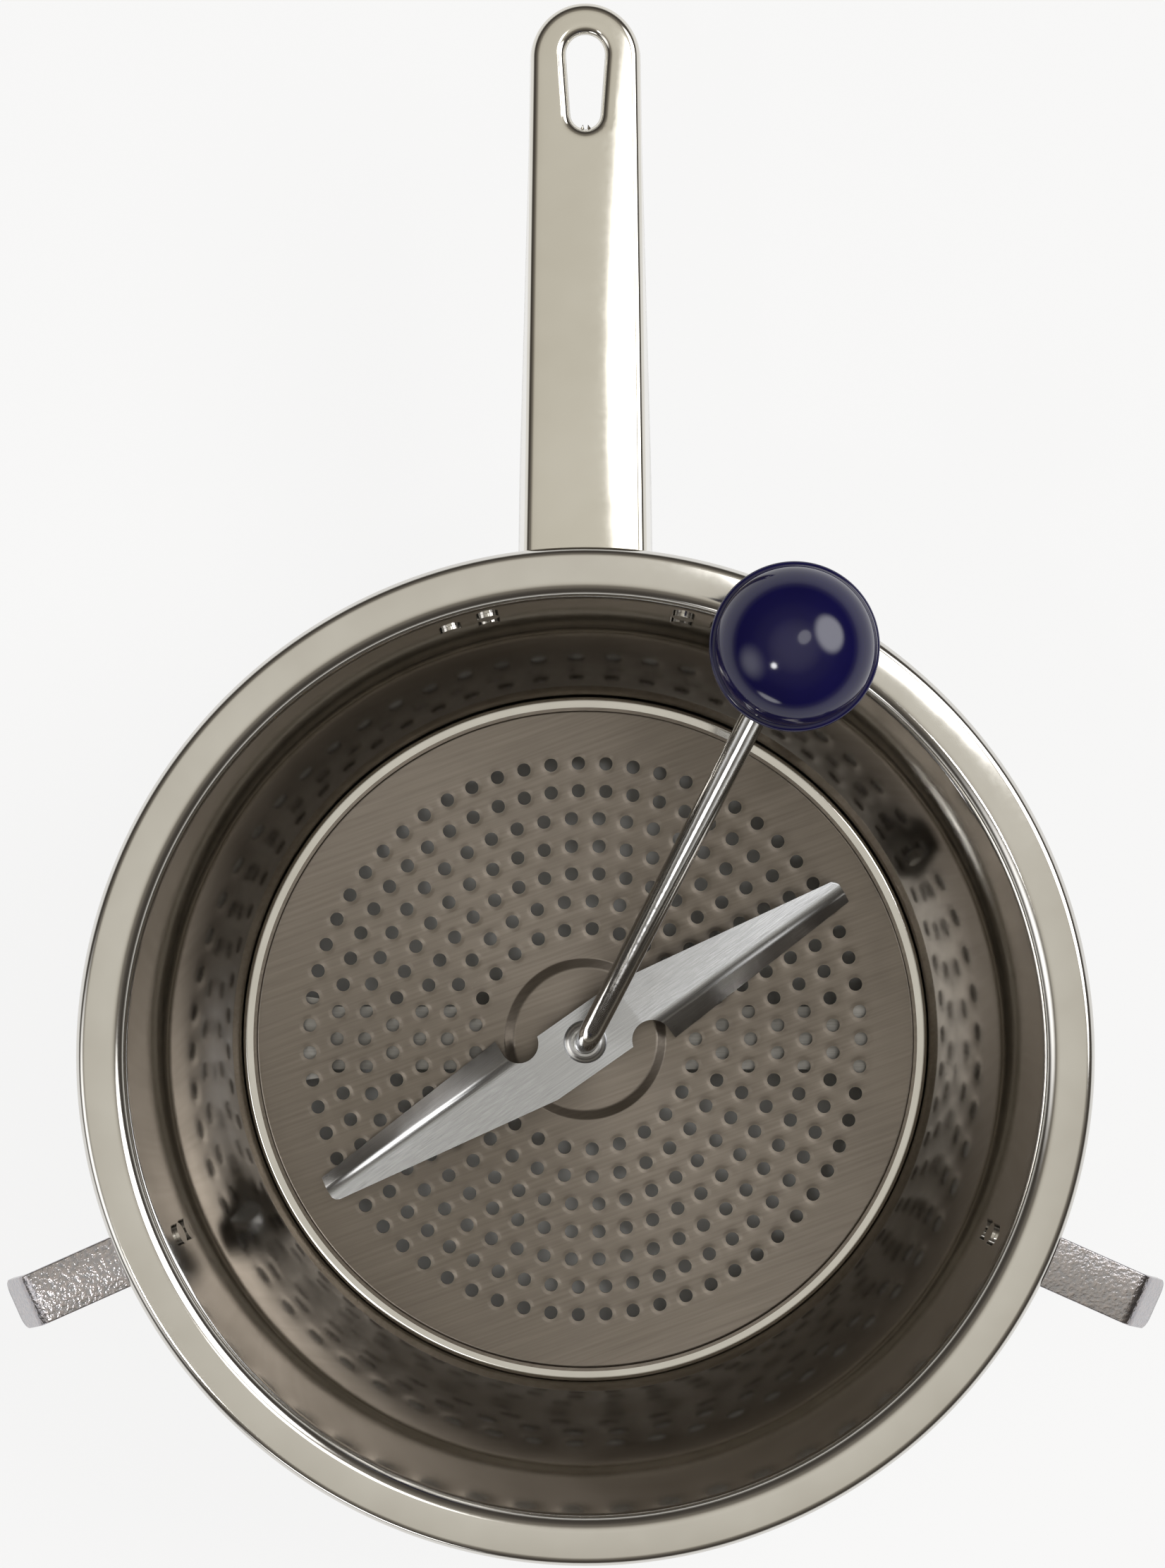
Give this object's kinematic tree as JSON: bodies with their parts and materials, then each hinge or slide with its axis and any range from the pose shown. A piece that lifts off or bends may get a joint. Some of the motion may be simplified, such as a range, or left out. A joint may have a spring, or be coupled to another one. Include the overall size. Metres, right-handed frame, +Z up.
{
  "type": "food mill",
  "caption": "Hand-cranked food mill: steel bowl with riveted handle and legs, perforated disc, spring-held folded blade on a bent crank, and a keyhole retaining bar.",
  "frame": {"origin": "on the bowl's axis in the plane that the collar stands on", "axes": "+Z up along the bowl's axis, +Y towards the handle's tip, +X to the right of the handle seen from above"},
  "size_m": [0.28, 0.3723, 0.1634],
  "materials": {
    "polished_stainless": "polished stainless sheet",
    "satin_stainless": "satin stainless sheet",
    "punched_stainless": "punched matt stainless sheet",
    "bright_rod": "drawn bright rod",
    "brassed_wire": "drawn brassed wire",
    "navy_plastic": "glossy moulded plastic, very dark navy"
  },
  "bodies": {
    "bowl": {"bowl_shell": "polished_stainless", "handle": "polished_stainless", "handle_bracket": "satin_stainless", "handle_rivets": "polished_stainless", "leg_left": "polished_stainless", "leg_right": "polished_stainless", "leg_rivets": "polished_stainless", "milling_disc": "punched_stainless", "retaining_bar": "satin_stainless", "bar_lug_left": "satin_stainless", "bar_lug_right": "satin_stainless"},
    "spring_carrier": {"spring_seat": "brassed_wire", "coil_spring": "brassed_wire"},
    "crank": {"crank_rod": "bright_rod", "rod_weld": "satin_stainless", "blade": "satin_stainless", "stem_collar": "bright_rod", "knob_retainer": "satin_stainless"},
    "knob": {"knob_base": "navy_plastic", "knob_cap": "navy_plastic"}
  },
  "joints": [
    {"name": "crank_turn", "type": "hinge", "parent": "bowl", "child": "spring_carrier", "pos_m": [0, 0, 0.018], "axis": [0, 0, 1], "continuous": true},
    {"name": "crank_press", "type": "slide", "parent": "spring_carrier", "child": "crank", "axis": [0, 0, -1], "range_m": [0, 0.0015], "stiffness_N_per_m": 4000, "springref_m": -0.0025, "deforming": ["coil_spring"]},
    {"name": "knob_spin", "type": "hinge", "parent": "crank", "child": "knob", "pos_m": [0.04647, 0.09527, 0.145], "axis": [0, 0, 1], "continuous": true}
  ]
}
